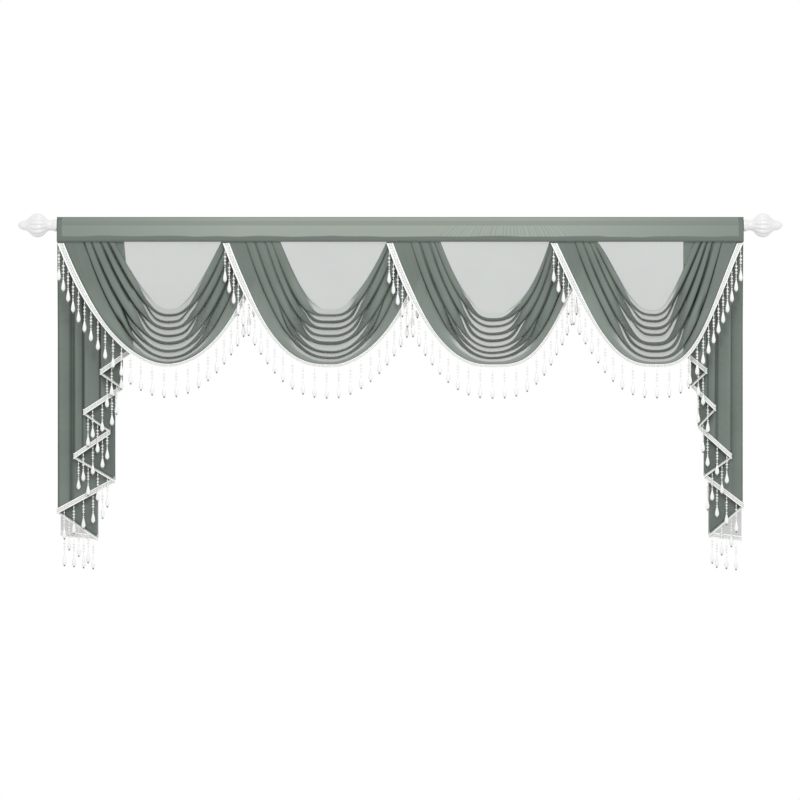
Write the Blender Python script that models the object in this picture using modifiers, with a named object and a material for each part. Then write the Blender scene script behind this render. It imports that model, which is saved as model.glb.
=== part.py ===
"""Swag and tail drape with a beaded trim, hanging from its rod.

Four draped swags hang side by side under a rod-pocket heading, and a pleated tail
hangs behind the swags at each end. The origin is on the rod's axis at its middle,
+X runs along the rod, +Z is up, and the drape faces -Y. Sizes below are in millimetres.
"""

import math

import bmesh
import bpy
from mathutils import Matrix, Vector

MM = 0.001
PART_NAME = "swag_and_tail_drape"

# Rod and finials
HEADING_WIDTH = 2000.0
ROD_RADIUS = 14.0
ROD_SIDES = 24
GAP = 0.3
FINIAL_SIDES = 24
FLUTE_DEPTH = 0.09
# distance along the axis from the rod's end, radius, 1 where the ball is fluted
FINIAL_PROFILE = (
    (0, 18.0, 0),
    (6, 18.0, 0),
    (16, 14.6, 0),
    (28, 17.5, 0),
    (39, 29.5, 1),
    (50, 34.5, 1),
    (61, 35.3, 1),
    (72, 31.0, 1),
    (81, 21.5, 0),
    (92, 13.5, 0),
    (106, 10.5, 0),
    (112, 5.5, 0),
)
FINIAL_TIP = 114.0

# Heading: a sleeve round the rod with a stitched ridge above it and a band below it
SLEEVE_RADIUS = 14.8
SLEEVE_WALL = 1.2
RIDGE_TOP = 24.5
RIDGE_HALF = 1.3
BAND_BOTTOM = -48.4
BAND_FRONT = -20.0
BAND_TAPER = 0.2
SEAM_HEIGHT = -30.0
CHANNEL_INSET = 2.0
# directions round the rod, in degrees, where the sleeve's section has its corners
SLEEVE_ANGLES = (174, 147, 120, 97, 83, 56, 28, 0, -29, -58)

# Cloth, and the trim's strip that lies in front of its edge
CLOTH = 1.0
CLOTH_TOP = -34.0
TRIM_THICK = 1.2
TRIM_HALF = 8.0
# a swag's strip is narrower below these shares of its drop
LOW_TRIM_HALF = 5.2
TRIM_NARROWS = (0.35, 0.65)
TRIM_GAP = 0.85
TRIM_OFF = CLOTH / 2 + TRIM_GAP + TRIM_THICK / 2

# Swags: depths (Y) of the two pleated corners, and how far the cloth stands forward below them
FRONT_CORNER = -15.9
BACK_CORNER = -7.5
NECK_BULGE = 16.0
HEM_BULGE = 44.0
BAND_MARGIN = -2.0
LONGEST_DROP = 374.0
BULGE_POWER = 0.6
# a branching line parts from the one above it over this share of the way, and never touches it
BRANCH_RUN = 0.25
LEAST_PART = 0.1
# folds: half their depth and how far they lap over, at the corners and at the lowest point,
# the shares of the way from corner to lowest point over which each grows, and how far
# below the band the pleats are let out
CORNER_PLEAT = 1.6
BELLY_FOLD = 13.0
CORNER_LAP = 2.2
BELLY_LAP = 1.75
CURL = math.radians(25)
LAP_REACH = 0.6
DEPTH_REACH = 0.8
CURL_REACH = 0.5
BACK_REACH = 0.9
PLEAT_DROP = 40.0
# lines closer together than this have flatter folds
FULL_PITCH = 15.0
# turns from the middle of a fold's face to its lower edge, and to its tucked-up part
EDGE_TURN = 0.33
TUCK_TURN = 0.67
NECK_OPEN = 0.2
# the flat panel's rows: the height they start from, and the share of the way on to the neck
PANEL_SEAM = -49.0
PANEL_ROWS = ((CLOTH_TOP, 0.0), (PANEL_SEAM, 0.0), (PANEL_SEAM, 0.5))

# Swags. First the place of the lowest point and how steeply the neck, the last fold line and the
# hem fall on the left and on the right, each at the corner and at the lowest point.
# Then one row for each fold line, from the neck down to the hem: where it leaves the heading on
# the left, its lowest height, where it meets the heading on the right, and for a line that
# branches from the one above it, the share of the way from corner to lowest point where it does
SWAGS = {
    "swag_1": (
        (-677, ((1.43, 1.95), (2.22, 1.88), (2.21, 1.94)), ((1.72, 2.51), (2.45, 2.22), (2.49, 2.03))),
        (-841, -241, -513, 0),
        (-859, -263, -496, 0),
        (-859, -283, -496, 0.60),
        (-878, -302, -479, 0),
        (-878, -323, -479, 0.53),
        (-904, -345, -458, 0),
        (-904, -368, -458, 0.36),
        (-925, -387, -435, 0),
        (-996, -409, -385, 0),
    ),
    "swag_2": (
        (-196, ((2.18, 4.13), (2.28, 2.50), (2.27, 2.79)), ((1.40, 2.50), (2.77, 1.84), (2.47, 1.86))),
        (-355, -243, -33, 0),
        (-379, -263, -18, 0),
        (-379, -283, -18, 0.50),
        (-397, -302, -2, 0),
        (-397, -323, -2, 0.48),
        (-426, -345, 19, 0),
        (-426, -371, 19, 0.26),
        (-455, -387, 36, 0),
        (-514, -411, 93, 0),
    ),
    "swag_3": (
        (264, ((1.95, 2.00), (2.41, 2.04), (2.27, 2.38)), ((2.58, 2.71), (3.47, 2.25), (1.95, 3.25))),
        (112, -252, 439, 0),
        (94, -278, 446, 0),
        (94, -295, 446, 0.46),
        (81, -318, 457, 0),
        (81, -338, 457, 0.50),
        (54, -356, 474, 0),
        (54, -373, 474, 0.30),
        (27, -387, 507, 0),
        (-37, -411, 561, 0),
    ),
    "swag_4": (
        (742, ((1.33, 2.59), (1.95, 2.31), (1.72, 2.58)), ((1.30, 1.79), (2.20, 2.81), (1.43, 2.99))),
        (561, -245, 865, 0),
        (554, -262, 884, 0),
        (554, -280, 884, 0.56),
        (543, -302, 899, 0),
        (543, -319, 899, 0.62),
        (526, -348, 914, 0),
        (526, -368, 914, 0.48),
        (504, -387, 940, 0),
        (439, -410, 998, 0),
    ),
}
LAST_SWAG = "swag_4"
# places along a swag's folds, with an extra one each side for the seam under the band
SWAG_STEPS = (0, 0.018, 0.085, 0.165, 0.25, 0.34, 0.43, 0.5, 0.57, 0.66, 0.75, 0.835, 0.915, 0.982, 1)

# Tails: one row for each vertical edge of the pleats, from the short front edge to the long back one:
# its place at the heading, its place at the hem, the hem's height there
TAILS = {
    "tail_left": (
        (-805, -776, -360),
        (-872, -872, -427),
        (-808, -808, -471),
        (-921, -921, -544),
        (-843, -843, -599),
        (-950, -950, -672),
        (-831, -831, -742),
        (-999, -999, -832),
        (-881, -881, -911),
        (-991, -991, -899),
    ),
    "tail_right": (
        (824, 824, -369),
        (891, 891, -424),
        (847, 847, -465),
        (920, 917, -532),
        (867, 867, -585),
        (966, 964, -672),
        (885, 885, -729),
        (999, 999, -816),
        (899, 899, -902),
        (996, 996, -914),
    ),
}
TAIL_FRONT = -13.2
TAIL_LEAN = 1.6
LAYER_AT_TOP = 1.7
LAYER_AT_HEM = 7.5
SPREAD_HEIGHT = -300.0
TAIL_LEVELS = (CLOTH_TOP, -165.0, SPREAD_HEIGHT)
FOLD_INSET = 0.68

# Beaded strands under the trim
STRAND_PITCH = 34.0
STRAND_ROOT = 2.4
# distance down from the trim's edge, radius: the thread's end, the drop's widest place, its tip
STRAND_PROFILE = ((62.0, 1.4), (87.0, 6.0), (99.0, 0.8))
TAIL_STRAND_STEP = 28.0
RETURN_HANG = 2.6
FOLD_CLEARANCE = 9.0
# the swags' strips: how finely the hem is measured, how far below the band they start,
# their least width there, and how much of the last step the next swag hides
TRIM_STEPS = 400
TRIM_TOP_DROP = 2.8
TRIM_LEAST = 1.0
HIDDEN_END = 0.8


# ---------------------------------------------------------------- helpers


def mix(a, b, share):
    return a + (b - a) * share


def smooth(low, high, value):
    share = min(max((value - low) / (high - low), 0.0), 1.0)
    return share * share * (3 - 2 * share)


def make_material(name, colour, roughness):
    material = bpy.data.materials.new(name)
    material.use_nodes = True
    shader = material.node_tree.nodes["Principled BSDF"]
    shader.inputs["Base Color"].default_value = (*colour, 1)
    shader.inputs["Roughness"].default_value = roughness
    material.diffuse_color = (*colour, 1)
    return material


def add_part(name, mesh, material):
    part = bpy.data.objects.new(name, mesh)
    part.data.materials.append(material)
    parts.objects.link(part)
    return part


def mesh_from(bm, name):
    bmesh.ops.remove_doubles(bm, verts=bm.verts, dist=0.00001)
    bmesh.ops.dissolve_degenerate(bm, edges=bm.edges, dist=0.00001)
    bmesh.ops.recalc_face_normals(bm, faces=bm.faces)
    mesh = bpy.data.meshes.new(name)
    bm.to_mesh(mesh)
    bm.free()
    return mesh


def sheet_of_cloth(name, rows, material):
    """A thin sheet through a grid of points, given its thickness by Solidify."""
    bm = bmesh.new()
    grid = [[bm.verts.new(Vector(point) * MM) for point in row] for row in rows]
    for upper, lower in zip(grid, grid[1:]):
        for i in range(len(upper) - 1):
            bm.faces.new((upper[i], upper[i + 1], lower[i + 1], lower[i]))
    sheet = add_part(name, mesh_from(bm, name), material)
    thick = sheet.modifiers.new("Thickness", "SOLIDIFY")
    thick.thickness = CLOTH * MM
    thick.offset = 0
    thick.use_even_offset = False


# ---------------------------------------------------------------- rod, finials, heading


def build_rod():
    bm = bmesh.new()
    bmesh.ops.create_cone(
        bm,
        cap_ends=True,
        segments=ROD_SIDES,
        radius1=ROD_RADIUS * MM,
        radius2=ROD_RADIUS * MM,
        depth=HEADING_WIDTH * MM,
        matrix=Matrix.Rotation(math.pi / 2, 4, "Y"),
    )
    add_part("rod", mesh_from(bm, "rod"), pearl)


def build_finial(name, side):
    """A turned finial with a fluted ball, on the rod's end at the given side."""
    bm = bmesh.new()
    start = HEADING_WIDTH / 2 + GAP
    rings = []
    for along, radius, fluted in FINIAL_PROFILE:
        ring = []
        for k in range(FINIAL_SIDES):
            angle = 2 * math.pi * k / FINIAL_SIDES
            reach = radius * (1 - FLUTE_DEPTH * fluted * (k % 2))
            place = (start + along, reach * math.cos(angle), reach * math.sin(angle))
            ring.append(bm.verts.new(Vector(place) * MM))
        rings.append(ring)
    tip = bm.verts.new(Vector((start + FINIAL_TIP, 0, 0)) * MM)
    for ring, following in zip(rings, rings[1:]):
        for k in range(FINIAL_SIDES):
            after = (k + 1) % FINIAL_SIDES
            bm.faces.new((ring[k], ring[after], following[after], following[k]))
    for k in range(FINIAL_SIDES):
        bm.faces.new((rings[-1][k], rings[-1][(k + 1) % FINIAL_SIDES], tip))
    bm.faces.new(rings[0])
    if side < 0:
        bmesh.ops.rotate(bm, verts=bm.verts, matrix=Matrix.Rotation(math.pi, 3, "Z"))
    add_part(name, mesh_from(bm, name), pearl)


def arc_point(radius, degrees):
    angle = math.radians(degrees)
    return radius * math.cos(angle), radius * math.sin(angle)


def build_heading():
    """The sleeve's closed section, with the rod's channel as a hole, drawn out along X."""
    outer_radius = SLEEVE_RADIUS + SLEEVE_WALL
    outer = [arc_point(outer_radius, a) for a in SLEEVE_ANGLES if a > 90]
    outer += [(-RIDGE_HALF, RIDGE_TOP), (RIDGE_HALF, RIDGE_TOP)]
    outer += [arc_point(outer_radius, a) for a in SLEEVE_ANGLES if a < 90]
    band_back = BAND_FRONT + SLEEVE_WALL
    outer += [
        (band_back + BAND_TAPER, SEAM_HEIGHT - SLEEVE_WALL),
        (band_back, BAND_BOTTOM),
        (BAND_FRONT, BAND_BOTTOM),
        (BAND_FRONT, CLOTH_TOP),
    ]
    channel = [arc_point(SLEEVE_RADIUS, a) for a in SLEEVE_ANGLES]
    channel.append((BAND_FRONT + CHANNEL_INSET, SEAM_HEIGHT + SLEEVE_WALL))

    outline = bpy.data.curves.new("heading_outline", "CURVE")
    outline.dimensions = "2D"
    outline.fill_mode = "BOTH"
    outline.extrude = HEADING_WIDTH / 2 * MM
    for points in (outer, channel):
        spline = outline.splines.new("POLY")
        spline.points.add(len(points) - 1)
        spline.use_cyclic_u = True
        for target, (across, height) in zip(spline.points, points):
            target.co = (across * MM, height * MM, 0, 1)
    guide = bpy.data.objects.new("heading_outline", outline)
    parts.objects.link(guide)
    graph = bpy.context.evaluated_depsgraph_get()
    mesh = bpy.data.meshes.new_from_object(guide.evaluated_get(graph))
    bpy.data.objects.remove(guide)
    bm = bmesh.new()
    bm.from_mesh(mesh)
    # the outline's own axes (Y, Z, X) become the part's (X, Y, Z)
    turn = Matrix(((0, 0, 1), (1, 0, 0), (0, 1, 0)))
    bmesh.ops.transform(bm, verts=bm.verts, matrix=turn.to_4x4())
    add_part("heading", mesh_from(bm, "heading"), cloth)


# ---------------------------------------------------------------- swags


def line_place(swag, row, on_left, run):
    """Across and height of a fold line, run being the share of the way from corner to lowest point."""
    middle, left_falls, right_falls = SWAGS[swag][0]
    rows = SWAGS[swag][1:]
    left, lowest, right, branch = rows[row]
    if branch:
        above, below = (line_place(swag, row + step, on_left, run) for step in (-1, 1))
        share = (rows[row - 1][1] - lowest) / (rows[row - 1][1] - rows[row + 1][1])
        share *= max(smooth(branch, branch + BRANCH_RUN, run), LEAST_PART)
        return mix(above[0], below[0], share), mix(above[1], below[1], share)
    neck, last_fold, hem = left_falls if on_left else right_falls
    folds = len(rows) - 2
    at_corner, at_lowest = hem if row > folds else (mix(a, b, row / folds) for a, b in zip(neck, last_fold))
    fall = 1 - (1 - run) ** mix(at_corner, at_lowest, run)
    return mix(left if on_left else right, middle, run), mix(CLOTH_TOP, lowest, fall)


def swag_point(swag, line, along):
    """A point of the swag without its folds: line counts fold lines down from the neck, and
    along runs from 0 at the left corner through 0.5 at the lowest point to 1 at the right."""
    lines = len(SWAGS[swag]) - 2
    depth = line / lines
    on_left = along <= 0.5
    run = 2 * along if on_left else 2 * (1 - along)
    # points stand closer together near the corners
    run *= (1 + run) / 2
    first = min(int(max(line, 0)), lines - 1)
    upper = line_place(swag, first, on_left, run)
    lower = line_place(swag, first + 1, on_left, run)
    x, z = (mix(a, b, line - first) for a, b in zip(upper, lower))
    below = max(BAND_BOTTOM + BAND_MARGIN - z, 0) / LONGEST_DROP
    forward = mix(NECK_BULGE, HEM_BULGE, depth) * below**BULGE_POWER
    if on_left or swag == LAST_SWAG:
        y = FRONT_CORNER - forward
    else:
        y = mix(BACK_CORNER, FRONT_CORNER, smooth(0, 1, run))
        y -= forward * smooth(0, BACK_REACH, run)
    return Vector((x, y, z)), run


def folded_point(swag, turn, along):
    """A point of the folded cloth. turn counts folds down from the neck: whole numbers are
    the middle of a fold's face, EDGE_TURN more is its lower edge, and TUCK_TURN more is tucked
    up behind that edge."""
    folds = len(SWAGS[swag]) - 2
    inner_line = min(max(turn, 0), folds - 1)
    inner, run = swag_point(swag, inner_line, along)
    outer, run = swag_point(swag, inner_line + 1, along)
    # the folds flatten towards the panel, the hem's band and where the lines meet
    opened = smooth(0, 1, (outer - inner).length / FULL_PITCH)
    opened *= smooth(-EDGE_TURN, NECK_OPEN, turn)
    opened *= 1 - smooth(folds - 1 - EDGE_TURN, folds - 1, turn)
    lap = mix(CORNER_LAP, BELLY_LAP, smooth(0, LAP_REACH, run))
    edge = math.acos(-1 / lap)
    shift = 1 - (edge + lap * math.sin(edge)) / (2 * math.pi)
    angle = 2 * math.pi * turn
    line = turn + shift + opened * lap * math.sin(angle) / (2 * math.pi)
    if turn <= -EDGE_TURN:
        line = 0
    if turn >= folds - EDGE_TURN:
        line = folds
    point, run = swag_point(swag, min(max(line, 0), folds), along)
    depth = smooth(0, DEPTH_REACH, run) * smooth(0, PLEAT_DROP, BAND_BOTTOM - point.z)
    depth = mix(CORNER_PLEAT, BELLY_FOLD, depth)
    curl = CURL * smooth(0, CURL_REACH, run)
    point.y -= opened * depth * math.sin(angle + curl)
    return point


def panel_row(swag, neck, height, share):
    """A row of the flat panel, from a height under the band and a share of the way on to the neck."""
    back = FRONT_CORNER if swag == LAST_SWAG else BACK_CORNER
    row = []
    for point in neck:
        across = (point.x - neck[0].x) / (neck[-1].x - neck[0].x)
        y = mix(mix(FRONT_CORNER, back, across), point.y, share)
        row.append(Vector((point.x, y, max(mix(height, point.z, share), point.z))))
    return row


def swag_rows(swag):
    """Rows of the swag's grid from the heading down: the flat panel, then three for each fold."""
    folds = len(SWAGS[swag]) - 2
    turns = []
    for fold in range(folds - 1):
        turns += [fold, fold + EDGE_TURN, fold + TUCK_TURN]
    turns += [folds - 1, folds - EDGE_TURN]
    neck = [folded_point(swag, -EDGE_TURN, along) for along in SWAG_STEPS]
    rows = [panel_row(swag, neck, height, share) for height, share in PANEL_ROWS]
    rows.append(neck)
    rows += [[folded_point(swag, turn, along) for along in SWAG_STEPS] for turn in turns]
    return rows


# ---------------------------------------------------------------- beaded trims


def grow_strand(bm, root, axis_x, axis_y, top):
    """Draws one root face down into a thread and a drop, three-sided all the way."""
    face = root
    for down, radius in STRAND_PROFILE:
        face = bmesh.ops.extrude_discrete_faces(bm, faces=[face])["faces"][0]
        corners = [loop.vert for loop in face.loops]
        middle = face.calc_center_median()
        angles = [math.atan2(v.co.y - middle.y, v.co.x - middle.x) for v in corners]
        turn = 1 if math.sin(angles[1] - angles[0]) > 0 else -1
        for k, vert in enumerate(corners):
            angle = angles[0] + turn * 2 * math.pi * k / 3
            place = (axis_x + radius * math.cos(angle), axis_y + radius * math.sin(angle), top - down)
            vert.co = Vector(place) * MM


def beaded_trim(name, stations, strands):
    """A strip through stations, each (upper, lower) point of its middle line with the
    direction its face points to, and strands grown from its lower face between
    the stations that strands name, each with where the strand hangs."""
    bm = bmesh.new()
    rings = []
    for upper, lower, facing in stations:
        half = facing.normalized() * TRIM_THICK / 2
        corners = (upper + half, upper - half, lower - half, lower + half)
        rings.append([bm.verts.new(corner * MM) for corner in corners])
    roots = {}
    for i, (ring, following) in enumerate(zip(rings, rings[1:])):
        for k in range(4):
            after = (k + 1) % 4
            corners = (ring[k], ring[after], following[after], following[k])
            if k == 2 and i in strands:
                roots[i] = bm.faces.new(corners[:3])
                bm.faces.new((corners[0], corners[2], corners[3]))
            else:
                bm.faces.new(corners)
    bm.faces.new(rings[0])
    bm.faces.new(rings[-1])
    bmesh.ops.recalc_face_normals(bm, faces=bm.faces)
    for i, face in roots.items():
        grow_strand(bm, face, *strands[i])
    add_part(name, mesh_from(bm, name), trim)


def between(points, where):
    """The point at a fractional place along a list of points."""
    first = min(int(where), len(points) - 2)
    return points[first].lerp(points[first + 1], where - first)


def trim_half(swag, height):
    """Half the width of a swag's strip, by the height on the hem."""
    lowest = SWAGS[swag][-1][1]
    share = (BAND_BOTTOM - height) / (BAND_BOTTOM - lowest)
    return mix(TRIM_HALF, LOW_TRIM_HALF, smooth(*TRIM_NARROWS, share))


def build_swag_trim(swag, rows):
    """The strip over the swag's hem, on the flat outer band of its cloth."""
    hem, band = rows[-1], rows[-2]
    last = len(SWAG_STEPS) - 1 - (0 if swag == LAST_SWAG else HIDDEN_END)
    line = []
    for i in range(TRIM_STEPS + 1):
        where = i / TRIM_STEPS * last
        edge, inside = between(hem, where), between(band, where)
        if edge.z < BAND_BOTTOM - GAP - TRIM_TOP_DROP:
            line.append((edge, (edge - inside).normalized(), where))
    lengths = [0.0]
    for (a, _, _), (b, _, _) in zip(line, line[1:]):
        lengths.append(lengths[-1] + (b - a).length)

    def place(length):
        i = min(max(k for k in range(len(lengths)) if lengths[k] <= length + 1e-9), len(line) - 2)
        share = (length - lengths[i]) / (lengths[i + 1] - lengths[i])
        return line[i][0].lerp(line[i + 1][0], share), line[i][1].lerp(line[i + 1][1], share)

    number = int((lengths[-1] - 2 * FOLD_CLEARANCE) / STRAND_PITCH) + 1
    spare = (lengths[-1] - (number - 1) * STRAND_PITCH) / 2
    centres = [spare + k * STRAND_PITCH for k in range(number)]
    roots = {centre - STRAND_ROOT / 2: centre + STRAND_ROOT / 2 for centre in centres}
    # the strip bends where the cloth's own grid does, unless a strand's root is there
    bends = [
        lengths[k]
        for k in range(1, len(line) - 1)
        if int(line[k][2]) != int(line[k - 1][2])
        and min(abs(lengths[k] - centre) for centre in centres) > STRAND_ROOT
    ]
    marks = sorted([0.0, lengths[-1], *roots, *roots.values(), *bends])
    facing = Vector((0, -1, 0))
    stations, strands = [], {}
    for mark in marks:
        edge, across = place(mark)
        half = trim_half(swag, edge.z)
        upper = edge - across * half + facing * TRIM_OFF
        lower = edge + across * half + facing * TRIM_OFF
        upper.z = min(upper.z, BAND_BOTTOM - GAP)
        lower.z = min(lower.z, BAND_BOTTOM - GAP - TRIM_LEAST)
        stations.append((upper, lower, facing))
    for i, mark in enumerate(marks):
        if mark in roots:
            middle = (stations[i][1] + stations[i + 1][1]) / 2
            strands[i] = (middle.x, middle.y, middle.z)
    beaded_trim(swag.replace("swag", "swag_trim"), stations, strands)


# ---------------------------------------------------------------- tails


def layer_step(height):
    share = min(max((CLOTH_TOP - height) / (CLOTH_TOP - SPREAD_HEIGHT), 0), 1)
    return mix(LAYER_AT_TOP, LAYER_AT_HEM, share)


def tail_depth(layer, height):
    share = min(max((CLOTH_TOP - height) / (CLOTH_TOP - SPREAD_HEIGHT), 0), 1)
    return TAIL_FRONT - TAIL_LEAN * share + layer * layer_step(height)


def tail_columns(name):
    """Where each vertical line of the tail's cloth stands: layer, share of the way along the
    pleat's face. Each fold gets a point of its own halfway between two layers."""
    pleats = len(TAILS[name]) - 1
    columns = []
    for pleat in range(pleats):
        if pleat:
            columns.append((pleat - 0.5, pleat, 0.0))
        for share in (0, 0.5, 1):
            columns.append((pleat, pleat, share))
    return columns


def tail_line(name, layer, pleat, share):
    """The place at the heading, the place at the hem and the hem's height of one line."""
    edges = TAILS[name]
    if pleat == layer:
        first, second = edges[pleat], edges[pleat + 1]
        top, low, height = (mix(a, b, share) for a, b in zip(first, second))
        towards = math.copysign(1, second[1] - first[1])
        if share == 0 and pleat > 0:
            top, low = top + towards * FOLD_INSET, low + towards * FOLD_INSET
        if share == 1 and pleat < len(edges) - 2:
            top, low = top - towards * FOLD_INSET, low - towards * FOLD_INSET
        return top, low, height
    return edges[pleat]


def tail_place(name, column, height):
    """The point of a column at a height."""
    top, low, hem = tail_line(name, *column)
    share = (CLOTH_TOP - height) / (CLOTH_TOP - hem)
    return Vector((mix(top, low, share), tail_depth(column[0], height), height))


def tail_rows(name):
    columns = tail_columns(name)
    rows = [[tail_place(name, column, level) for column in columns] for level in TAIL_LEVELS]
    rows.append([tail_place(name, column, tail_line(name, *column)[2]) for column in columns])
    return rows


def build_tail_trim(name):
    """The strip on the cloth's right side: in front of each face, behind each return."""
    edges = TAILS[name]
    last = len(edges) - 2
    lift = Vector((0, 0, TRIM_HALF))
    stations, strands = [], {}
    for pleat in range(last + 1):
        (_, x0, z0), (_, x1, z1) = edges[pleat], edges[pleat + 1]
        towards = math.copysign(1, x1 - x0)
        face = 1 if pleat % 2 == 0 else -1
        facing = Vector((0, -face, 0))
        start = x0 if pleat == 0 else x0 + towards * (FOLD_INSET + face * TRIM_OFF)
        end = x1 if pleat == last else x1 - towards * (FOLD_INSET - face * TRIM_OFF)

        def centre(x):
            height = mix(z0, z1, (x - x0) / (x1 - x0))
            return Vector((x, tail_depth(pleat, height), height)) + facing * TRIM_OFF

        phase = 0 if face > 0 else TAIL_STRAND_STEP / 2
        hang = 0 if face > 0 else RETURN_HANG
        low, high = sorted((start, end))
        first_spot = math.ceil((low + FOLD_CLEARANCE - phase) / TAIL_STRAND_STEP)
        last_spot = math.floor((high - FOLD_CLEARANCE - phase) / TAIL_STRAND_STEP)
        spots = [phase + k * TAIL_STRAND_STEP for k in range(first_spot, last_spot + 1)]
        spots.sort(reverse=towards < 0)
        marks = [start]
        for spot in spots:
            marks += [spot - towards * STRAND_ROOT / 2, spot + towards * STRAND_ROOT / 2]
            root = centre(spot)
            strands[len(stations) + len(marks) - 2] = (root.x, root.y - hang, root.z - TRIM_HALF)
        marks.append(end)
        for mark in marks:
            stations.append((centre(mark) + lift, centre(mark) - lift, facing))
        if pleat < last:
            bend = Vector((x1 + towards * face * TRIM_OFF, tail_depth(pleat + 0.5, z1), z1))
            stations.append((bend + lift, bend - lift, Vector((towards * face, 0, 0))))
    beaded_trim(name.replace("tail", "tail_trim"), stations, strands)


# ---------------------------------------------------------------- assembly

for old in list(bpy.data.objects):
    bpy.data.objects.remove(old)
parts = bpy.data.collections.new(PART_NAME)
bpy.context.scene.collection.children.link(parts)
cloth = make_material("sage_voile", (0.30, 0.34, 0.31), 0.8)
trim = make_material("white_galloon", (0.85, 0.86, 0.84), 0.5)
pearl = make_material("pearl_white", (0.85, 0.85, 0.85), 0.3)

build_rod()
build_finial("finial_left", -1)
build_finial("finial_right", 1)
build_heading()
for swag_name in SWAGS:
    swag_grid = swag_rows(swag_name)
    sheet_of_cloth(swag_name, swag_grid, cloth)
    build_swag_trim(swag_name, swag_grid)
for tail_name in TAILS:
    sheet_of_cloth(tail_name, tail_rows(tail_name), cloth)
    build_tail_trim(tail_name)
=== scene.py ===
"""Looks of the swag and tail drape: sheer sage voile, white galloon with pearl drops, pearl finials.

Sizes below are in millimetres unless a name says otherwise. The origin is on the rod's axis
at its middle, +X runs along the rod, +Z is up, and the drape faces -Y.
"""

import math

import bmesh
import bpy
from mathutils import Matrix, Vector, noise


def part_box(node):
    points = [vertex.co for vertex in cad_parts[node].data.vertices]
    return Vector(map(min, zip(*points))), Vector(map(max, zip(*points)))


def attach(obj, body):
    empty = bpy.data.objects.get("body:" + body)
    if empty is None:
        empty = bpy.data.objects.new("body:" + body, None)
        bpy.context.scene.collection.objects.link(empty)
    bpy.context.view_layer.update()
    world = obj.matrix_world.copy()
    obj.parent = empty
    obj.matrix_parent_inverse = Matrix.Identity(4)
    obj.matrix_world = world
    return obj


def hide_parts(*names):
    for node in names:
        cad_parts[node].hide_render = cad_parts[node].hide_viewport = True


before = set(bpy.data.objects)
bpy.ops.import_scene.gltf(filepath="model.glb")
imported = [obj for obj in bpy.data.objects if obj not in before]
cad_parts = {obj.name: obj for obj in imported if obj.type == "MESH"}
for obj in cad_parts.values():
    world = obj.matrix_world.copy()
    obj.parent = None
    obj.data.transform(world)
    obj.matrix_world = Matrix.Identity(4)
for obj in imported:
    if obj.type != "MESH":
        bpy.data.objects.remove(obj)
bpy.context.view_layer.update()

MM = 0.001

# Heading, taken from the frame
heading_low, heading_high = (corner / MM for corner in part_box("heading"))
HEADING_END = heading_high.x
RIDGE_TOP = heading_high.z
BAND_BOTTOM = heading_low.z
BAND_FRONT = heading_low.y
SLEEVE_RADIUS = 15.4
VOILE = 0.5
CLOTH_TOP = -34.0
HEADING_COLUMNS = 400
# its cloth: waves and smaller crinkles where it hangs slack and a ripple along the ridge, each
# with its depth and its size along the rod and up, the heights between which slack comes and
# goes, where the ridge starts, and how far all of the cloth stands outside its section
WAVE_DEPTH = 0.5
WAVE_SIZE = (90, 30)
CRINKLE_DEPTH = 0.18
CRINKLE_SIZE = (22, 16)
RIPPLE_DEPTH = 0.35
RIPPLE_SIZE = 60
SLACK_FROM = (-30, -12)
SLACK_TO = (10, 16)
RIDGE_FOOT = 18
OUTWARD = 0.1

# Swags: depths (Y) of the two pleated corners, and how far the cloth stands forward below them
FRONT_CORNER = -15.9
BACK_CORNER = -7.5
NECK_BULGE = 16.0
HEM_BULGE = 44.0
BAND_MARGIN = -2.0
LONGEST_DROP = 374.0
BULGE_POWER = 0.6
# a branching line parts from the one above it over this share of the way, and never touches it
BRANCH_RUN = 0.25
LEAST_PART = 0.1
# folds: half their depth and how far they lap over, at the corners and at the lowest point,
# the shares of the way from corner to lowest point over which each grows, and how far
# below the band the pleats are let out
CORNER_PLEAT = 1.6
BELLY_FOLD = 13.0
CORNER_LAP = 5.2
BELLY_LAP = 2.55
LAP_UNEVEN = 0.08
# how the laps vary from fold to fold, along a fold, and from swag to swag
LAP_WAVES = (2.4, 5, 1.7)
# at the lowest point a fold sinks by this share of a line, and its face curls under
BELLY_SINK = 0.15
CURL = math.radians(25)
LAP_REACH = (0.35, 0.85)
DEPTH_REACH = 0.8
CURL_REACH = 0.5
BACK_REACH = 0.9
PLEAT_DROP = 40.0
# lines closer together than this have flatter folds
FULL_PITCH = 15.0
# turns from the middle of a fold's face to its lower edge, and to where the first fold is open
EDGE_TURN = 0.33
NECK_OPEN = 0.2

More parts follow.
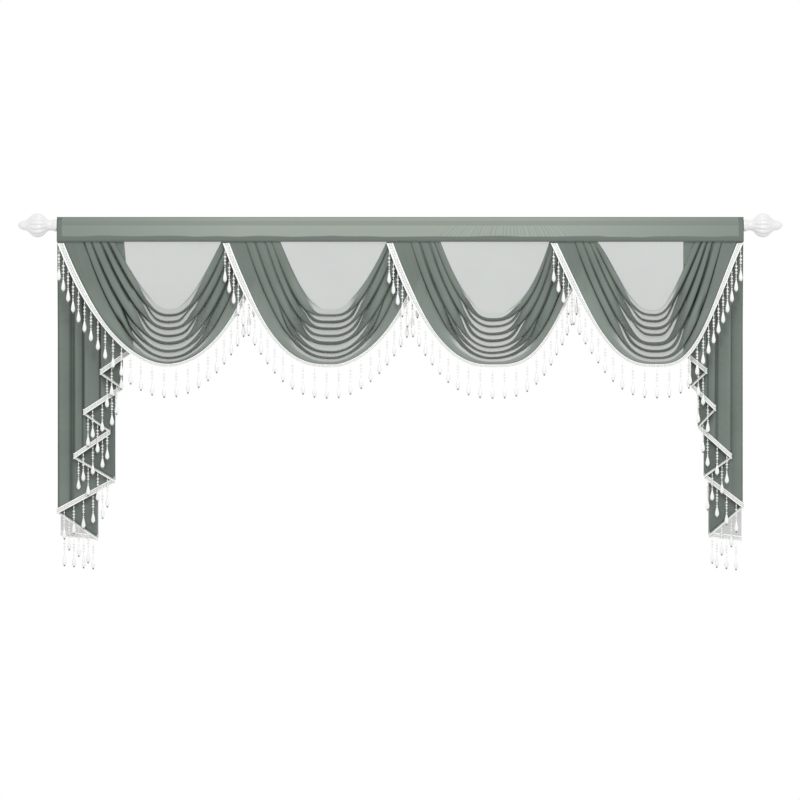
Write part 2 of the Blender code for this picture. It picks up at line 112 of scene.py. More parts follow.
# Swags. First the place of the lowest point and how steeply the neck, the last fold line and the
# hem fall on the left and on the right, each at the corner and at the lowest point.
# Then one row for each fold line, from the neck down to the hem: where it leaves the heading on
# the left, its lowest height, where it meets the heading on the right, and for a line that
# branches from the one above it, the share of the way from corner to lowest point where it does
SWAGS = {
    "swag_1": (
        (-677, ((1.43, 1.95), (2.22, 1.88), (2.21, 1.94)), ((1.72, 2.51), (2.45, 2.22), (2.49, 2.03))),
        (-841, -241, -513, 0),
        (-859, -263, -496, 0),
        (-859, -283, -496, 0.60),
        (-878, -302, -479, 0),
        (-878, -323, -479, 0.53),
        (-904, -345, -458, 0),
        (-904, -368, -458, 0.36),
        (-925, -387, -435, 0),
        (-996, -409, -385, 0),
    ),
    "swag_2": (
        (-196, ((2.18, 4.13), (2.28, 2.50), (2.27, 2.79)), ((1.40, 2.50), (2.77, 1.84), (2.47, 1.86))),
        (-355, -243, -33, 0),
        (-379, -263, -18, 0),
        (-379, -283, -18, 0.50),
        (-397, -302, -2, 0),
        (-397, -323, -2, 0.48),
        (-426, -345, 19, 0),
        (-426, -371, 19, 0.26),
        (-455, -387, 36, 0),
        (-514, -411, 93, 0),
    ),
    "swag_3": (
        (264, ((1.95, 2.00), (2.41, 2.04), (2.27, 2.38)), ((2.58, 2.71), (3.47, 2.25), (1.95, 3.25))),
        (112, -252, 439, 0),
        (94, -278, 446, 0),
        (94, -295, 446, 0.46),
        (81, -318, 457, 0),
        (81, -338, 457, 0.50),
        (54, -356, 474, 0),
        (54, -373, 474, 0.30),
        (27, -387, 507, 0),
        (-37, -411, 561, 0),
    ),
    "swag_4": (
        (742, ((1.33, 2.59), (1.95, 2.31), (1.72, 2.58)), ((1.30, 1.79), (2.20, 2.81), (1.43, 2.99))),
        (561, -245, 865, 0),
        (554, -262, 884, 0),
        (554, -280, 884, 0.56),
        (543, -302, 899, 0),
        (543, -319, 899, 0.62),
        (526, -348, 914, 0),
        (526, -368, 914, 0.48),
        (504, -387, 940, 0),
        (439, -410, 998, 0),
    ),
}
# the neck's own falls at the corner and the lowest point, on the left and on the right
NECK_FALLS = {
    "swag_1": ((1.40, 1.75), (1.45, 2.30)),
    "swag_2": ((1.80, 2.80), (1.75, 1.80)),
    "swag_3": ((1.95, 2.00), (2.58, 2.71)),
    "swag_4": ((0.80, 2.60), (1.30, 1.79)),
}
FIRST_SWAG = "swag_1"
LAST_SWAG = "swag_4"
SWAG_COLUMNS = 132
PANEL_ROWS = 16
ROWS_IN_FOLD = 18
HEM_STEPS = 800

# Tails: one row for each vertical edge of the pleats, from the short front edge to the long back one:
# its place at the heading, its place at the hem, the hem's height there
TAILS = {
    "tail_left": (
        (-805, -776, -360),
        (-872, -872, -427),
        (-808, -808, -471),
        (-921, -921, -544),
        (-843, -843, -599),
        (-950, -950, -672),
        (-831, -831, -742),
        (-999, -999, -832),
        (-881, -881, -911),
        (-991, -991, -899),
    ),
    "tail_right": (
        (824, 824, -369),
        (891, 891, -424),
        (847, 847, -465),
        (920, 917, -532),
        (867, 867, -585),
        (966, 964, -672),
        (885, 885, -729),
        (999, 999, -816),
        (899, 899, -902),
        (996, 996, -914),
    ),
}
# the painted crease shade on a pleat beside the one in front: how far out, its inner and outer width,
# strength
TAIL_CREASE_SHADES = {
    "tail_left": {2: (2.0, 2.5, 5.0, 0.8), 4: (2.5, 2.2, 4.5, 0.85), 6: (9.0, 8.0, 8.5, 0.68)},
    "tail_right": {2: (3.0, 2.2, 6.5, 0.6), 4: (4.0, 2.2, 6.5, 0.66), 6: (5.0, 2.5, 5.0, 0.3)},
}
TAIL_FRONT = -13.2
TAIL_LEAN = 1.6
LAYER_AT_TOP = 1.7
LAYER_AT_HEM = 7.5
SPREAD_HEIGHT = -300.0
FOLD_SHARE = 0.09
TAIL_COLUMNS_A_PLEAT = 22
TAIL_ROWS = 60

# The cloth laid flat: width and length of the swags and tails, which are cut to shape
SWAG_FLAT = (800, 700)
TAIL_FLAT = (950, 890)

# Galloon: the braided strip on the cloth's edge
TRIM_HALF = 8.0
# a swag's strip is wider on its covering side, and narrows between these shares of its drop
FRONT_TRIM_HALF = 9.6
LOW_TRIM_HALF = 5.4
TRIM_NARROWS = (0.3, 0.75)
# how far off the cloth the strands hang, and from there the strip's middle and its turns
TRIM_OFF = 1.9
STRIP_OFF = TRIM_OFF - 0.4
TURN_OFF = TRIM_OFF + 0.6
STRIP_THICKNESS = 0.5
TRIM_STEP = 2.5
TRIM_TOP_DROP = 2.8
TRIM_COLUMNS = 12
# the strip's width points this share of a fold inwards from the hem, and a covered corner's
# strip ends this share of the hem's run early, behind the next swag
INSIDE_HEM = 0.6
HIDDEN_END = 0.057
# the strip's rolled cords, in shares of half its width, and the lattice between them
CORD_PLACE = 0.84
CORD_HALF = 0.13
CORD_RELIEF = 0.9
LATTICE_RELIEF = 0.25
LATTICE_PITCH = 5

# Beaded strands
STRAND_PITCH = 34.0
TAIL_STRAND_STEP = 28.0
# strands on a tail's returning pleats hang further back, and all keep clear of the folds' ends
RETURN_HANG = 2.6
FOLD_CLEARANCE = 9.0
THREAD_RADIUS = 0.55
CRYSTAL_SIDES = 7
BEAD_SIDES = 5
# each strand is turned from the one before and leans a little, in radians
STRAND_TURN = 1.7
STRAND_SWAY = 0.012
SWAY_SIZE = 37
# crystals and round beads: how far down their middle is, radius, and half their height
CRYSTALS = ((21.8, 4.8, 4.6), (32.2, 4.8, 4.6), (41.8, 4.5, 4.3))
ROUND_BEADS = (
    (8.5, 2.0, 3.6),
    (15.6, 1.7, 1.7),
    (27.0, 2.0, 1.5),
    (37.1, 2.0, 1.5),
    (49.5, 1.7, 3.0),
    (56.8, 3.1, 2.8),
)
# the drop and its tip: how far down, radius
DROP_PROFILE = (
    (60.0, 1.6),
    (64.0, 2.3),
    (70.0, 3.7),
    (76.0, 5.1),
    (82.0, 6.1),
    (86.5, 6.3),
    (91.0, 5.2),
    (94.5, 2.4),
)
TIP_PROFILE = ((93.6, 2.6), (96.0, 3.1), (99.2, 1.4))
DROP_SIDES = 8
TIP_SIDES = 5
# length of the strands low on the swags and on the tails, as shares of the full length
LOW_STRAND = 0.9
TAIL_STRAND = 0.87

# Finials: distance along the axis from the heading's end, radius, share of the flutes' depth
FINIAL_PROFILE = (
    (0.3, 17.4, 0),
    (0.4, 18.0, 0),
    (0.9, 18.1, 0),
    (6, 18.2, 0),
    (10, 16.6, 0),
    (16, 14.6, 0),
    (22, 15.0, 0),
    (28, 17.5, 0.05),
    (33, 23.0, 0.5),
    (39, 29.5, 1),
    (45, 33.2, 1),
    (53, 35.2, 1),
    (61, 35.3, 1),
    (67, 33.6, 1),
    (73, 30.0, 1),
    (78, 25.4, 0.6),
    (82, 21.0, 0.1),
    (87, 17.6, 0),
    (91, 14.2, 0),
    (96, 14.6, 0),
    (102, 13.2, 0),
    (108, 9.6, 0),
    (112, 5.4, 0),
    (114, 0.4, 0),
)
FLUTES = 14
FLUTE_DEPTH = 0.12
FLUTE_POWER = 0.7
FINIAL_STEPS = 112

# Sheer cloth: how much each face of a sheet hides, as single cloth, in the folds at the lowest
# point, in the gathered sides, in a crease under its painted shade, in the hem's band and in the tails
SHEER_COVER = 0.285
BELLY_COVERS = {"swag_1": 0.37, "swag_2": 0.36, "swag_3": 0.31, "swag_4": 0.34}
FLANK_COVER = 0.82
CREASE_COVER = 0.9
BAND_COVER = 0.64
TAIL_COVER = 0.80
# where along its run a fold turns sheer: for the fold at the neck and for the one at the hem
FRONT_SHEER = (0.29, 0.25)
BEHIND_SHEER = (0.32, 0.17)
FIRST_SHEER = (0.42, 0.38)
SHEER_RUN = 0.22
SHEER_SLANT = 0.16
SHEER_UNEVEN = 0.06
SHEER_WAVE = 4.1
# how much later the fold at the neck turns sheer, and how much less slanting
NECK_STAYS = {"swag_1": 0.0, "swag_2": 0.12, "swag_3": 0.1, "swag_4": 0.06}
NECK_SLANT = 0.1
BAND_STAYS = 0.4
BAND_EDGE = (0.3, 0.42)
# painted shade in the creases, in shares of full darkness, and how far from a fold's edge each one reaches
FAINT_CREASE = 0.62
BELLY_CREASE = 0.78
CREASE_UNEVEN = 0.22
CREASE_PHASE = 0.01
FLANK_WAVES = (9, 2.7)
BELLY_WAVES = (5, 1.9)
# the painted crease shade is darker near the hem, less so on the side that covers, and faint under the band
NEAR_HEM = (0.6, 0.9)
FRONT_DEEP = 0.8
BAND_CREASE = 0.55
BAND_CREASE_REACH = (0.02, 0.22)
FLANK_REACH = 1.4
BELLY_REACH = 1.9
REACH_POWERS = (4.0, 1.6)
FLANK_OVER = 3.4
FLANK_OVER_POWER = 3
FLANK_UNDER = 0.4
FLANK_UNDER_POWER = 2.6
# the cloth that a fold hides: turns from the middle of its face, and its shade there
HIDDEN_TURNS = (0.36, 0.44)
HIDDEN_SHADES = (0.75, 0.3)
HIDDEN_BELLY = 0.5
BELLY_UNDER = 0.62
BELLY_UNDER_REACH = 3.4
# on the two outer sides the painted crease shade is darker, and where the last folds gape it is a
# wider painted shade: where along their run, over what length, and how much wider it is there
OUTER_CREASE = 1.45
GAPES = {"swag_1": 0.46, "swag_4": 0.32}
GAPE_FOLDS = 3
GAPE_RUN = 0.11
GAPE_WIDER = 1.5
GAPE_POWER = 4
# the shade beside the strip, on the outer sides, on the others and at the lowest point
STRIP_SHADE = 0.5
FAINT_STRIP_SHADE = 0.15
STRIP_SHADE_REACH = 5.0
HEM_SHADES = {"swag_1": 0.62, "swag_2": 0.3, "swag_3": 0.34, "swag_4": 0.3}
# painted shade on the gathered cloth under the band, darkest at the corners, and a painted shade line at
# the neck
CORNER_SHADE = 0.2
CORNER_SHADE_REACH = (0.1, 0.55)
NECK_SHADE = 0.25
NECK_SHADE_REACH = 3.0
# the lighter line along a fold's upper edge, and the light on its face halfway down
RIDGE_LIGHT = 0.3
OUTER_RIDGE = 0.4
RIDGE_PLACE = 5.0
RIDGE_HALF = 3.0
MIDDLE_LIGHT = 0.45
MIDDLE_REACH = (0.3, 0.6)
# tails: the shade of a pleat that returns, of every pleat, beside the edge of the pleat in
# front, under its hem, and inside a fold
RETURN_SHADE = 0.36
TAIL_TONE = 0.12
TAIL_SOFT = 0.24
TAIL_SOFT_REACH = 14.0
UNDER_HEM_SHADE = 0.85
UNDER_HEM_REACH = 24.0
UNDER_HEM_ENDS = 0.06
INSIDE_FOLD = 0.85
INSIDE_FOLD_REACH = 14.0
# the weave: a thread's width in metres, the strength and fineness of its long streaks, and how
# far the tone spreads. Then the tones of the painted highlight on ridges and of the painted shade in
# creases
THREAD = 0.0006
STREAKS = 0.12
STREAK_SCALE = (9, 160, 1)
TONE_SPREAD = 0.07
RIDGE_SHARE = 0.5
RIDGE_HIGHLIGHT_TONE = (0.34, 0.38, 0.34)
CREASE_SHADE_TONE = (0.008, 0.010, 0.009)


# ---------------------------------------------------------------- helpers


def mix(a, b, share):
    return a + (b - a) * share


def smooth(low, high, value):
    share = min(max((value - low) / (high - low), 0.0), 1.0)
    return share * share * (3 - 2 * share)


def add_piece(name, bm, materials, nodes=(), smooth_all=True):
    """Makes a piece from a bmesh in metres that rides on the frame."""
    bmesh.ops.recalc_face_normals(bm, faces=bm.faces)
    mesh = bpy.data.meshes.new(name)
    bm.to_mesh(mesh)
    bm.free()
    if smooth_all:
        mesh.shade_smooth()
    piece = bpy.data.objects.new(name, mesh)
    bpy.context.collection.objects.link(piece)
    for material in materials:
        mesh.materials.append(material)
    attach(piece, "root")
    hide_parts(*nodes)
    return piece


def thicken(piece, thickness):
    solid = piece.modifiers.new("Thickness", "SOLIDIFY")
    solid.thickness = thickness * MM
    solid.offset = 0
    solid.use_even_offset = False


def running_lengths(points):
    """The length along a line of points up to each of them."""
    lengths = [0.0]
    for start, end in zip(points, points[1:]):
        lengths.append(lengths[-1] + math.dist(start, end))
    return lengths


def spin_profile(bm, points, axis, steps):
    """Spins a line of points a full turn round an axis through the origin."""
    rim = [bm.verts.new(Vector(point) * MM) for point in points]
    lines = [bm.edges.new(pair) for pair in zip(rim, rim[1:])]
    bmesh.ops.spin(
        bm,
        geom=rim + lines,
        cent=(0, 0, 0),
        axis=axis,
        angle=2 * math.pi,
        steps=steps,
        use_merge=True,
    )


def close_ends(bm):
    ends = [edge for edge in bm.edges if edge.is_boundary]
    bmesh.ops.holes_fill(bm, edges=ends, sides=0)


def cloth_grid(columns, rows, flat, place, marks=None):
    """A grid whose points go where place(across, down) says, both from 0 to 1. Its UV map
    is the cloth laid flat, in metres. marks(across, down) gives each point's cover (how much
    each face of the sheet hides), crease shade (painted shade beside a fold) and ridge (a painted highlight
    on an edge)."""
    bm = bmesh.new()
    laid_flat = bm.loops.layers.uv.new("flat_cloth")
    layers = [bm.verts.layers.float.new(name) for name in ("cover", "crease_shade", "ridge")] if marks else []
    bmesh.ops.create_grid(bm, x_segments=columns, y_segments=rows, size=0.5)
    for face in bm.faces:
        for loop in face.loops:
            across, down = loop.vert.co.x + 0.5, 0.5 - loop.vert.co.y
            loop[laid_flat].uv = (across * flat[0] * MM, (1 - down) * flat[1] * MM)
    for vert in bm.verts:
        across, down = vert.co.x + 0.5, 0.5 - vert.co.y
        for layer, value in zip(layers, marks(across, down) if marks else ()):
            vert[layer] = value
        vert.co = place(across, down) * MM
    return bm


# ---------------------------------------------------------------- materials


class Nodes:
    """A material's node tree, with short ways to add and link nodes."""

    def __init__(self, name):
        self.material = bpy.data.materials.new(name)
        self.material.use_nodes = True
        self.tree = self.material.node_tree
        self.shader = self.tree.nodes["Principled BSDF"]

    def add(self, kind, **values):
        node = self.tree.nodes.new(kind)
        for key, value in values.items():
            if key in node.inputs:
                node.inputs[key].default_value = value
            else:
                setattr(node, key, value)
        return node

    def link(self, output, target):
        self.tree.links.new(output, target)

    def set(self, name, value):
        self.shader.inputs[name].default_value = value

    def ramp(self, source, stops):
        node = self.add("ShaderNodeValToRGB")
        elements = node.color_ramp.elements
        while len(elements) < len(stops):
            elements.new(0.5)
        for element, (position, colour) in zip(elements, stops):
            element.position = position
            element.color = (*colour, 1)
        self.link(source, node.inputs["Fac"])
        return node.outputs["Color"]

    def math(self, operation, first, second):
        node = self.add("ShaderNodeMath", operation=operation)
        for socket, value in zip(node.inputs, (first, second)):
            if isinstance(value, (int, float)):
                socket.default_value = value
            else:
                self.link(value, socket)
        return node.outputs["Value"]

    def blend(self, kind, factor, first, second):
        node = self.add("ShaderNodeMix", data_type="RGBA", blend_type=kind)
        # the colour sockets of a mix node: its factor and its two colours
        sockets = (node.inputs[0], node.inputs[6], node.inputs[7])
        for socket, value in zip(sockets, (factor, first, second)):
            if isinstance(value, (int, float)):
                socket.default_value = value
            elif isinstance(value, tuple):
                socket.default_value = (*value, 1)
            else:
                self.link(value, socket)
        return node.outputs[2]

    def bump(self, height, strength, distance):
        node = self.add("ShaderNodeBump", Strength=strength, Distance=distance)
        self.link(height, node.inputs["Height"])
        self.link(node.outputs["Normal"], self.shader.inputs["Normal"])


def woven_height(nodes, coordinates, thread):
    """Plain weave: two sets of threads, a thread's width in metres."""
    heights = []
    for direction in ("X", "Y"):
        scale = math.pi / (10 * thread)
        wave = nodes.add("ShaderNodeTexWave", bands_direction=direction, Scale=scale)
        wave.inputs["Distortion"].default_value = 0.6
        nodes.link(coordinates, wave.inputs["Vector"])
        heights.append(wave.outputs["Fac"])
    return nodes.math("MULTIPLY", *heights)


def voile_material(name, colour):
    """Sheer voile: a fine open weave with slightly uneven threads and a soft sheen."""
    nodes = Nodes(name)
    flat = nodes.add("ShaderNodeUVMap", uv_map="flat_cloth").outputs["UV"]
    place = nodes.add("ShaderNodeTexCoord").outputs["Object"]
    broad = nodes.add("ShaderNodeTexNoise", Scale=7.0, Detail=2.0)
    nodes.link(place, broad.inputs["Vector"])
    streaks = nodes.add("ShaderNodeTexNoise", Scale=1.0, Detail=3.0)
    stretch = nodes.add("ShaderNodeMapping")
    stretch.inputs["Scale"].default_value = STREAK_SCALE
    nodes.link(flat, stretch.inputs["Vector"])
    nodes.link(stretch.outputs["Vector"], streaks.inputs["Vector"])
    dark = tuple(c * (1 - TONE_SPREAD) for c in colour)
    light = tuple(c * (1 + TONE_SPREAD) for c in colour)
    tone = nodes.ramp(broad.outputs["Fac"], ((0.3, dark), (0.7, light)))
    tone = nodes.blend("OVERLAY", STREAKS, tone, streaks.outputs["Color"])
    # painted shade beside the folds and a painted highlight on their edges, read from the cloth's
    # attributes, and how much each face hides
    crease_shade, ridge, cover = (
        nodes.add("ShaderNodeAttribute", attribute_name=mark).outputs["Fac"]
        for mark in ("crease_shade", "ridge", "cover")
    )
    tone = nodes.blend("MIX", nodes.math("MULTIPLY", ridge, RIDGE_SHARE), tone, RIDGE_HIGHLIGHT_TONE)
    tone = nodes.blend("MIX", crease_shade, tone, CREASE_SHADE_TONE)
    nodes.link(tone, nodes.shader.inputs["Base Color"])
    nodes.link(cover, nodes.shader.inputs["Alpha"])
    nodes.bump(woven_height(nodes, flat, THREAD), 0.2, 0.0002)
    nodes.set("Roughness", 0.62)
    nodes.set("Specular IOR Level", 0.12)
    nodes.set("Sheen Weight", 0.05)
    nodes.set("Sheen Roughness", 0.4)
    return nodes.material


def heading_material():
    """Two and more layers of voile: lighter over the pocket, darker where hems lie inside. The
    layers' weaves shimmer against each other in two patches."""
    nodes = Nodes("heading_voile")
    place = nodes.add("ShaderNodeTexCoord").outputs["Object"]
    flat = nodes.add("ShaderNodeUVMap", uv_map="flat_cloth").outputs["UV"]
    split = nodes.add("ShaderNodeSeparateXYZ")
    nodes.link(place, split.inputs["Vector"])

    # bands from the lower edge to the ridge, in shares of the heading's height in metres.
    # The seams below the pocket wander a little
    lower_edge, whole_height = 0.050, 0.075
    wander, wander_below = 0.011, -0.02
    pocket_from, pocket_to = 0.25, 0.655
    wobble = nodes.add("ShaderNodeTexNoise", Scale=8.0, Detail=1.0)
    nodes.link(place, wobble.inputs["Vector"])
    drift = nodes.math("MULTIPLY", nodes.math("SUBTRACT", wobble.outputs["Fac"], 0.5), wander)
    is_low = nodes.math("LESS_THAN", split.outputs["Z"], wander_below)
    height = nodes.math("ADD", split.outputs["Z"], nodes.math("MULTIPLY", drift, is_low))
    share = nodes.math("DIVIDE", nodes.math("ADD", height, lower_edge), whole_height)
    # edge: a painted shadow along the band's lower edge
    edge = (0.12, 0.142, 0.126)
    hem = (0.142, 0.168, 0.149)
    pocket = (0.308, 0.345, 0.308)
    seam = (0.215, 0.245, 0.215)
    top = (0.248, 0.277, 0.245)
    ridge = (0.318, 0.350, 0.311)
    stops = (
        (0.0, edge),
        (0.035, hem),
        (0.225, hem),
        (pocket_from, pocket),
        (pocket_to, pocket),
        (0.67, seam),
        (0.69, top),
        (0.83, top),
        (0.85, ridge),
        (0.955, ridge),
        (0.975, seam),
    )
    tone = nodes.ramp(share, stops)

    # the side hems, and the shade that grows towards the ends
    side_hem, side_hem_shade = 0.985, 0.95
    shade_from, least_shade, most_shade = 0.4, 0.06, 0.55
    side = nodes.math("ABSOLUTE", split.outputs["X"], 0.0)
    at_end = nodes.math("MULTIPLY", nodes.math("GREATER_THAN", side, side_hem), side_hem_shade)
    tone = nodes.blend("MIX", at_end, tone, hem)
    ends = nodes.math("MAXIMUM", nodes.math("SUBTRACT", side, shade_from), least_shade)
    tone = nodes.blend("MIX", nodes.math("MINIMUM", ends, most_shade), tone, hem)

    # the shimmer: streaks that fan out below a point, shown in patches of the pocket
    fan_x, fan_z, shimmer_strength = 0.32, 0.16, 0.13
    beside_fan = nodes.math("SUBTRACT", split.outputs["X"], fan_x)
    below_fan = nodes.math("SUBTRACT", fan_z, split.outputs["Z"])
    fan = nodes.add("ShaderNodeCombineXYZ")
    nodes.link(nodes.math("DIVIDE", beside_fan, below_fan), fan.inputs["X"])
    shimmer = nodes.add("ShaderNodeTexWave", bands_direction="X", Scale=5.2, Distortion=6.0, Detail=2.0)
    shimmer.inputs["Detail Scale"].default_value = 1.4
    nodes.link(fan.outputs["Vector"], shimmer.inputs["Vector"])
    left_start, patches_length = 0.5, 1.2
    along = nodes.math("DIVIDE", nodes.math("ADD", split.outputs["X"], left_start), patches_length)
    shown, plain = (1, 1, 1), (0, 0, 0)
    patches = (
        (0.067, plain),
        (0.117, shown),
        (0.192, shown),
        (0.242, plain),
        (0.458, plain),
        (0.517, shown),
        (0.817, shown),
        (0.900, plain),
    )
    where = nodes.ramp(along, patches)
    where = nodes.math("MULTIPLY", where, nodes.math("LESS_THAN", share, pocket_to))
    where = nodes.math("MULTIPLY", where, nodes.math("GREATER_THAN", share, pocket_from))
    where = nodes.math("MULTIPLY", where, shimmer_strength)
    tone = nodes.blend("SOFT_LIGHT", where, tone, shimmer.outputs["Color"])

    nodes.link(tone, nodes.shader.inputs["Base Color"])
    nodes.bump(woven_height(nodes, flat, THREAD), 0.25, 0.0002)
    nodes.set("Roughness", 0.62)
    nodes.set("Specular IOR Level", 0.25)
    nodes.set("Sheen Weight", 0.25)
    nodes.set("Sheen Roughness", 0.4)
    return nodes.material


def galloon_material():
    """White braid: satin edge cords, and a lace of fine threads with a grey painted shade in the hollows
    between them.
    """
    nodes = Nodes("white_galloon")
    cord_inside = 0.0056
    cord_white, thread_white, hollow_shade = (0.98, 0.985, 0.975), (0.88, 0.89, 0.875), (0.40, 0.42, 0.40)
    flat = nodes.add("ShaderNodeUVMap", uv_map="flat_cloth").outputs["UV"]
    lace = nodes.add("ShaderNodeTexVoronoi", feature="DISTANCE_TO_EDGE", Scale=200.0, Randomness=0.35)
    nodes.link(flat, lace.inputs["Vector"])
    split = nodes.add("ShaderNodeSeparateXYZ")
    nodes.link(flat, split.inputs["Vector"])
    from_middle = nodes.math("ABSOLUTE", nodes.math("SUBTRACT", split.outputs["Y"], TRIM_HALF * MM), 0.0)
    cord = nodes.math("GREATER_THAN", from_middle, cord_inside)
    thread = nodes.ramp(lace.outputs["Distance"], ((0.08, thread_white), (0.26, hollow_shade)))
    tone = nodes.blend("MIX", cord, thread, cord_white)
    nodes.link(tone, nodes.shader.inputs["Base Color"])
    nodes.bump(nodes.math("SUBTRACT", 1.0, lace.outputs["Distance"]), 0.5, 0.0006)
    nodes.set("Roughness", 0.45)
    nodes.set("Sheen Weight", 0.2)
    return nodes.material


def pearl_material(name, colour, roughness):
    """Glossy white with the faint milky variation of pearl paint."""
    nodes = Nodes(name)
    place = nodes.add("ShaderNodeTexCoord").outputs["Object"]
    milk = nodes.add("ShaderNodeTexNoise", Scale=90.0, Detail=3.0)
    nodes.link(place, milk.inputs["Vector"])
    milky = tuple(c * 0.95 for c in colour)
    tone = nodes.ramp(milk.outputs["Fac"], ((0.35, milky), (0.65, colour)))
    nodes.link(tone, nodes.shader.inputs["Base Color"])
    nodes.bump(milk.outputs["Fac"], 0.08, 0.0004)
    nodes.set("Roughness", roughness)
    nodes.set("Coat Weight", 0.6)
    nodes.set("Coat Roughness", 0.08)
    return nodes.material


# ---------------------------------------------------------------- heading, rod and finials


def on_sleeve(*degrees):
    """Points on the sleeve round the rod, the angle counted from the back upwards."""
    angles = [math.radians(value) for value in degrees]
    return [(SLEEVE_RADIUS * math.cos(angle), SLEEVE_RADIUS * math.sin(angle)) for angle in angles]


def heading_section():
    """Depth and height of the cloth from the band's front lower edge, up over the rod, over the
    ridge, down the back and round to the band's back lower edge."""
    front = BAND_FRONT
    points = [(front, BAND_BOTTOM), (front, -40), (front, -34), (front + 0.1, -30.6)]
    points += [(front + 0.7, -30.0), (front + 0.8, -24), (front + 1.6, -16), (front + 3.0, -8)]
    points += on_sleeve(176, 166, 156, 146, 136, 126, 116, 107)
    points += [(-1.6, 16.6), (-1.0, 18.5), (-0.9, 21.5), (-0.6, RIDGE_TOP - 0.8), (0, RIDGE_TOP - 0.3)]
    points += [(0.6, RIDGE_TOP - 0.8), (0.9, 21.5), (1.0, 18.5), (1.6, 16.6)]
    points += on_sleeve(73, 64, 54, 44, 34, 22, 10, -2, -14, -26, -38, -50, -62)
    points += [(2.0, -17.5), (-5.0, -23.0), (-12.0, -27.0), (front + 1.4, -30.0)]
    points += [(front + 0.9, -33), (front + 0.9, -40), (front + 0.9, BAND_BOTTOM)]
    return points


def build_heading():
    section = heading_section()
    cut_length = running_lengths(section)[-1]

    def place(across, down):
        row = round(down * (len(section) - 1))
        y, z = section[row]
        x = mix(-HEADING_END, HEADING_END, across)
        slack = smooth(*SLACK_FROM, z) * (1 - smooth(*SLACK_TO, z))
        wave = noise.noise(Vector((x / WAVE_SIZE[0], z / WAVE_SIZE[1], 1.3)))
        crinkle = noise.noise(Vector((x / CRINKLE_SIZE[0], z / CRINKLE_SIZE[1], 7.1)))
        out = (WAVE_DEPTH * wave + CRINKLE_DEPTH * crinkle) * slack + OUTWARD
        ripple = RIPPLE_DEPTH * noise.noise(Vector((x / RIPPLE_SIZE, 4.2, 0)))
        ripple *= smooth(RIDGE_FOOT, RIDGE_TOP, z)
        direction = -1 if y < 0 else 1
        return Vector((x, y + direction * out + ripple, z))

    bm = cloth_grid(HEADING_COLUMNS, len(section) - 1, (2 * HEADING_END, cut_length), place)
    piece = add_piece("heading_cloth", bm, [heading_material()], ["heading"])
    thicken(piece, VOILE)
    return piece


def build_finial(name, side, material):
    """A turned finial: its profile spun round the rod's axis, with flutes pressed into the ball."""
    bm = bmesh.new()
    profile = [(HEADING_END + along, 0, radius) for along, radius, _ in FINIAL_PROFILE]
    spin_profile(bm, profile, (1, 0, 0), FINIAL_STEPS)
    flutes = {round(HEADING_END + along, 2): share for along, _, share in FINIAL_PROFILE}
    for vert in bm.verts:
        share = flutes[round(vert.co.x / MM, 2)]
        angle = math.atan2(vert.co.z, vert.co.y)
        groove = abs(math.sin(FLUTES * angle / 2)) ** FLUTE_POWER
        scale = 1 - FLUTE_DEPTH * share * (1 - groove)
        vert.co.y *= scale
        vert.co.z *= scale
    close_ends(bm)
    if side < 0:
        bmesh.ops.rotate(bm, verts=bm.verts, matrix=Matrix.Rotation(math.pi, 3, "Z"))
    piece = add_piece(name + "_turned", bm, [material], [name])
    curve = piece.modifiers.new("Smooth", "SUBSURF")
    curve.levels = 1
    curve.render_levels = 1
    return piece


# ---------------------------------------------------------------- swags


def line_place(swag, row, on_left, run):
    """Across and height of a fold line, run being the share of the way from corner to lowest point."""
    middle, left_falls, right_falls = SWAGS[swag][0]
    rows = SWAGS[swag][1:]
    left, lowest, right, branch = rows[row]
    if branch:
        above, below = (line_place(swag, row + step, on_left, run) for step in (-1, 1))
        share = (rows[row - 1][1] - lowest) / (rows[row - 1][1] - rows[row + 1][1])
        share *= max(smooth(branch, branch + BRANCH_RUN, run), LEAST_PART)
        return mix(above[0], below[0], share), mix(above[1], below[1], share)
    neck, last_fold, hem = left_falls if on_left else right_falls
    folds = len(rows) - 2
    at_corner, at_lowest = hem if row > folds else (mix(a, b, row / folds) for a, b in zip(neck, last_fold))
    if row == 0:
        at_corner, at_lowest = NECK_FALLS[swag][0 if on_left else 1]
    fall = 1 - (1 - run) ** mix(at_corner, at_lowest, run)
    return mix(left if on_left else right, middle, run), mix(CLOTH_TOP, lowest, fall)


def swag_point(swag, line, along):
    """A point of the swag without its folds: line counts fold lines down from the neck, and
    along runs from 0 at the left corner through 0.5 at the lowest point to 1 at the right."""
    lines = len(SWAGS[swag]) - 2
    depth = line / lines
    on_left = along <= 0.5
    run = 2 * along if on_left else 2 * (1 - along)
    # points stand closer together near the corners
    run *= (1 + run) / 2
    first = min(int(max(line, 0)), lines - 1)
    upper = line_place(swag, first, on_left, run)
    lower = line_place(swag, first + 1, on_left, run)
    x, z = (mix(a, b, line - first) for a, b in zip(upper, lower))
    below = max(BAND_BOTTOM + BAND_MARGIN - z, 0) / LONGEST_DROP
    forward = mix(NECK_BULGE, HEM_BULGE, depth) * below**BULGE_POWER
    if on_left or swag == LAST_SWAG:
        y = FRONT_CORNER - forward
    else:
        y = mix(BACK_CORNER, FRONT_CORNER, smooth(0, 1, run))
        y -= forward * smooth(0, BACK_REACH, run)
    return Vector((x, y, z)), run


